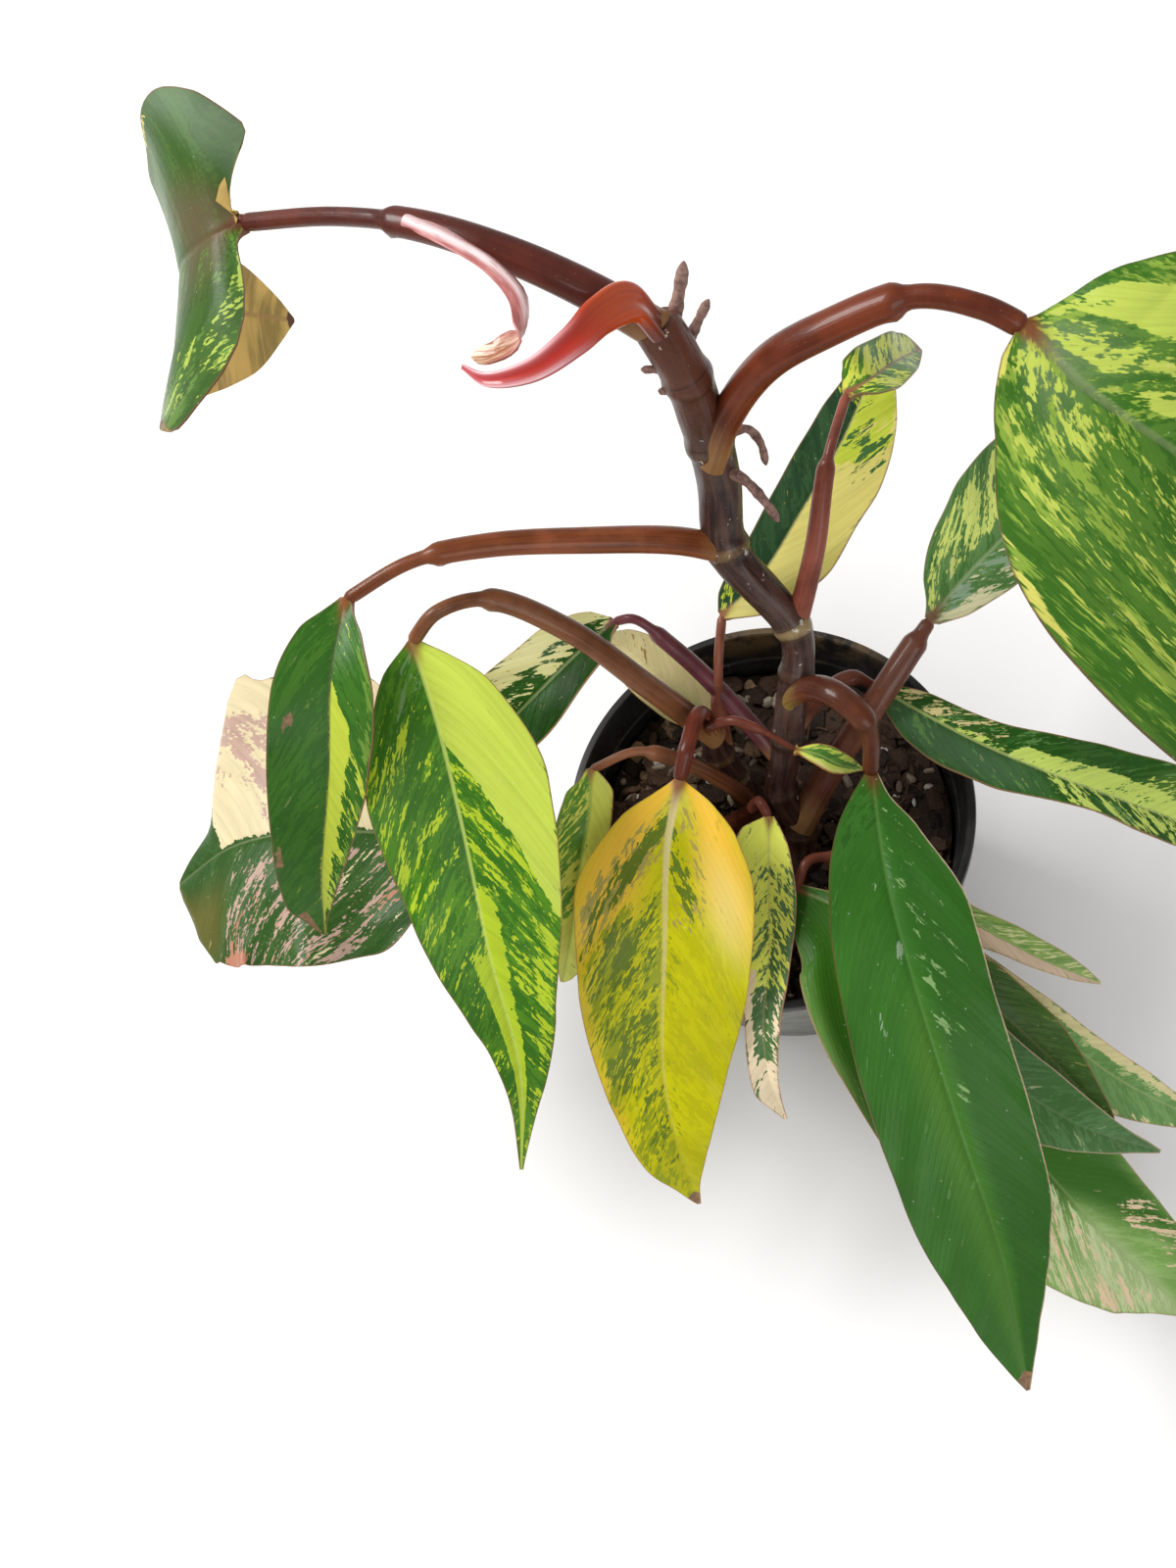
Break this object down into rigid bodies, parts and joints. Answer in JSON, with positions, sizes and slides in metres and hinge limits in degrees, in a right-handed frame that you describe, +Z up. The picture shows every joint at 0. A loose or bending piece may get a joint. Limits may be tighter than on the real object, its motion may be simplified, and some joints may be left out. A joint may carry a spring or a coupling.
{
  "type": "potted caramel apple philodendron",
  "caption": "Climbing philodendron with red stalks and marbled green, lime and cream leaves, growing in a plain black nursery pot.",
  "frame": {"origin": "centre of the flat underside of the pot, which rests on the ground", "axes": "+Z up along the pot's axis; +X to the right and +Y away from the picture's viewer"},
  "size_m": [0.3538, 0.3047, 0.2685],
  "materials": {
    "pot_black": "thin black nursery plastic with a soft sheen",
    "potting_mix": "dark bark and coco chips with pale pumice and perlite",
    "stem_bark": "purple-brown with a grey gloss",
    "stalk_red": "glossy red-brown",
    "leaf_dark_green": "smooth and leathery, semi-gloss",
    "leaf_green": "smooth and leathery, semi-gloss",
    "leaf_lime": "smooth and leathery, semi-gloss",
    "leaf_yellow": "smooth and leathery, semi-gloss",
    "leaf_cream": "smooth and leathery, semi-gloss",
    "leaf_mosaic": "smooth and leathery, marbled green and cream",
    "sheath_red": "glossy red",
    "sheath_pink": "thin, dry and glossy"
  },
  "bodies": {
    "root": {"pot": "pot_black", "soil": "potting_mix", "main_stem": "stem_bark", "side_stem": "stem_bark", "front_stem": "stem_bark", "stalk_top_left": "stalk_red", "blade_top_left": "leaf_green", "stalk_top_right": "stalk_red", "blade_top_right": "leaf_green", "stalk_left_green": "stalk_red", "blade_left_green": "leaf_dark_green", "stalk_lime": "stalk_red", "blade_lime": "leaf_lime", "stalk_yellow": "stalk_red", "blade_yellow": "leaf_yellow", "stalk_front_green": "stalk_red", "blade_front_green": "leaf_dark_green", "stalk_mosaic": "stalk_red", "blade_mosaic": "leaf_mosaic", "stalk_low_left": "stalk_red", "blade_low_left": "leaf_lime", "stalk_back_left": "stalk_red", "blade_back_left": "leaf_green", "stalk_pale_back": "stalk_red", "blade_pale_back": "leaf_cream", "stalk_back_yellow": "stalk_red", "blade_back_yellow": "leaf_yellow", "stalk_back_small": "stalk_red", "blade_back_small": "leaf_lime", "stalk_back_right": "stalk_red", "blade_back_right": "leaf_mosaic", "stalk_right_wavy": "stalk_red", "blade_right_wavy": "leaf_green", "stalk_far_left": "stalk_red", "blade_far_left": "leaf_mosaic", "stalk_tiny": "stalk_red", "blade_tiny": "leaf_lime", "stalk_right_point": "stalk_red", "blade_right_point": "leaf_green", "stalk_right_cream": "stalk_red", "blade_right_cream": "leaf_mosaic", "stalk_right_olive": "stalk_red", "blade_right_olive": "leaf_dark_green", "stalk_right_dark": "stalk_red", "blade_right_dark": "leaf_dark_green", "stalk_under_front": "stalk_red", "blade_under_front": "leaf_mosaic", "new_leaf_sheath": "sheath_red", "loose_sheath": "sheath_pink"}
  },
  "joints": []
}
